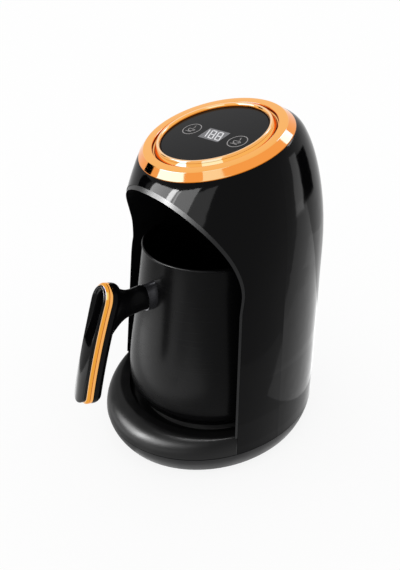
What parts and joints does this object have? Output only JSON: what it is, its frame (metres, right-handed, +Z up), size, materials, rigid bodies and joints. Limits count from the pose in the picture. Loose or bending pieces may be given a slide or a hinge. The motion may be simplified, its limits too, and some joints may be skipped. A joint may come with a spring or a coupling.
{
  "type": "electric turkish coffee maker",
  "caption": "Arched black coffee maker with tilted touch panel in a gold ring, heating base and lift-out pot with a gold-edged side handle.",
  "frame": {"origin": "on the table, middle of the whole object's footprint, the pot's grip included", "axes": "+Z up, -Y towards the user (arch, grip and panel tilt), +X to the right hand of a user facing the front"},
  "size_m": [0.136, 0.188, 0.2124],
  "materials": {
    "gloss_shell": "polished piano black",
    "satin_liner": "satin black",
    "satin_black": "fine satin",
    "tray_black": "matte",
    "rubber": "matte",
    "steel": "zinc plated",
    "gold": "polished rose gold plating",
    "black_glass": "polished, printed black from behind",
    "board_green": "solder mask",
    "display": "diffuser",
    "lens": "polished, dark infrared lens",
    "plate_aluminium": "hard anodised",
    "element_steel": "oxidised",
    "silicone": "satin",
    "probe_aluminium": "turned",
    "fuse_sleeve": "woven glass sleeve",
    "relay_blue": "satin",
    "core_iron": "laminated, varnished",
    "capacitor_can": "sleeved",
    "terminal_green": "satin",
    "pot_coat": "satin black coat",
    "collar_coat": "satin dark grey",
    "handle_gloss": "polished black"
  },
  "bodies": {
    "machine": {"outer_casing": "gloss_shell", "shell_lugs": "satin_black", "bay_liner": "satin_liner", "base_platform": "satin_black", "base_tray": "tray_black", "rubber_feet": "rubber", "base_screws": "steel", "cord_gland": "tray_black", "gold_bezel": "gold", "gold_inner_ring": "gold", "touch_glass": "black_glass", "panel_frame": "tray_black", "control_board": "board_green", "display_module": "display", "touch_springs": "steel", "board_screws": "steel", "buzzer": "tray_black", "foam_sensor": "tray_black", "sensor_window": "lens", "heating_plate": "plate_aluminium", "heating_element": "element_steel", "plate_seal": "silicone", "plate_bracket": "steel", "bracket_screws": "steel", "sensor_guide": "element_steel", "sensor_spring": "steel", "thermal_fuse": "fuse_sleeve", "power_board": "board_green", "relay": "relay_blue", "supply_transformer": "core_iron", "smoothing_capacitor": "capacitor_can", "terminal_block": "terminal_green", "board_fixings": "steel"},
    "probe": {"sensor_probe": "probe_aluminium"},
    "pot": {"pot_body": "pot_coat", "pot_collar": "collar_coat", "weld_stud": "steel", "handle_core": "handle_gloss", "handle_trim": "gold", "handle_face": "handle_gloss", "handle_screw": "steel"}
  },
  "joints": [
    {"name": "pot_lift", "type": "slide", "parent": "machine", "child": "pot", "axis": [0, -0.922, 0.3872], "range_m": [0, 0.15]},
    {"name": "probe_press", "type": "slide", "parent": "machine", "child": "probe", "axis": [0, 0, 1], "range_m": [-0.0015, 0], "stiffness_N_per_m": 300, "springref_m": 0.001, "deforming": ["sensor_spring"]}
  ]
}
